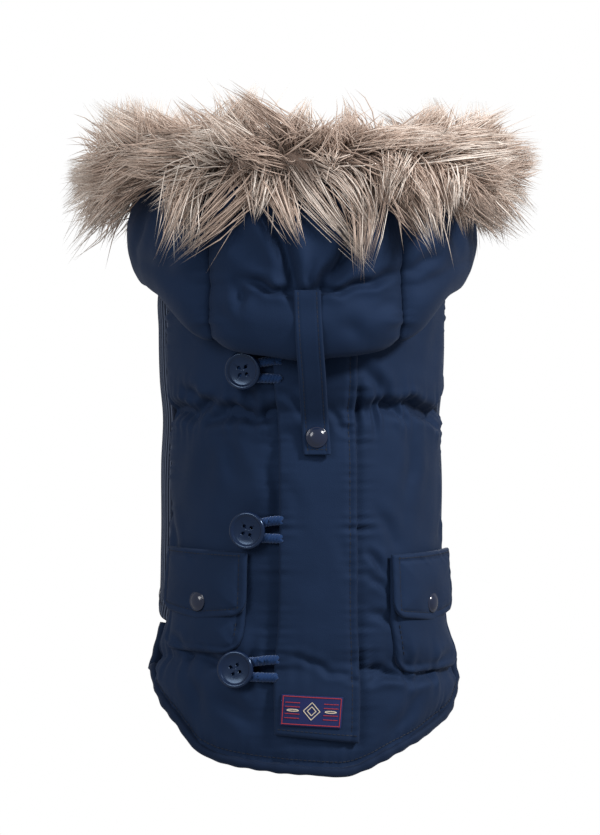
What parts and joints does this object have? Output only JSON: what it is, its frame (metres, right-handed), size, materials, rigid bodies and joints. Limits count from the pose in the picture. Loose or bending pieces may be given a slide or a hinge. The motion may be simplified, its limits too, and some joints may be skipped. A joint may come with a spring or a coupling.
{
  "type": "hooded padded dog jacket",
  "caption": "Padded pull-on jacket for a small dog, filled out as worn, with its fur-trimmed hood folded back on the back.",
  "frame": {"origin": "the middle of the neck opening, level with the neck seam at the nape", "axes": "+Z points to the head end, -Y out of the back of the garment, +Y out of its belly side, and +X to the right when the back is looked at with the head end up"},
  "size_m": [0.2956, 0.2726, 0.4259],
  "materials": {
    "padded_cloth": "fine plain weave with a slight sheen, quilted over wadding",
    "rib_knit": "matt rib knit",
    "binding": "matt woven tape",
    "fur": "long soft pile in clumped locks",
    "woven_label": "woven, with a stitched border",
    "snap": "glossy dome",
    "button": "semi-gloss with a raised rim",
    "cord": "twisted cord"
  },
  "bodies": {
    "root": {"back_panel": "padded_cloth", "belly_panel": "rib_knit", "hood_left": "padded_cloth", "hood_centre": "padded_cloth", "hood_right": "padded_cloth", "fur_trim": "fur", "placket": "padded_cloth", "label": "woven_label", "pocket_left": "padded_cloth", "pocket_right": "padded_cloth", "pocket_flap_left": "padded_cloth", "pocket_flap_right": "padded_cloth", "pocket_snap_left": "snap", "pocket_snap_right": "snap", "strap_snap": "snap", "button_top": "button", "button_middle": "button", "button_bottom": "button", "loop_top": "cord", "loop_middle": "cord", "loop_bottom": "cord", "hood_strap": "padded_cloth", "tail_binding": "binding"}
  },
  "joints": []
}
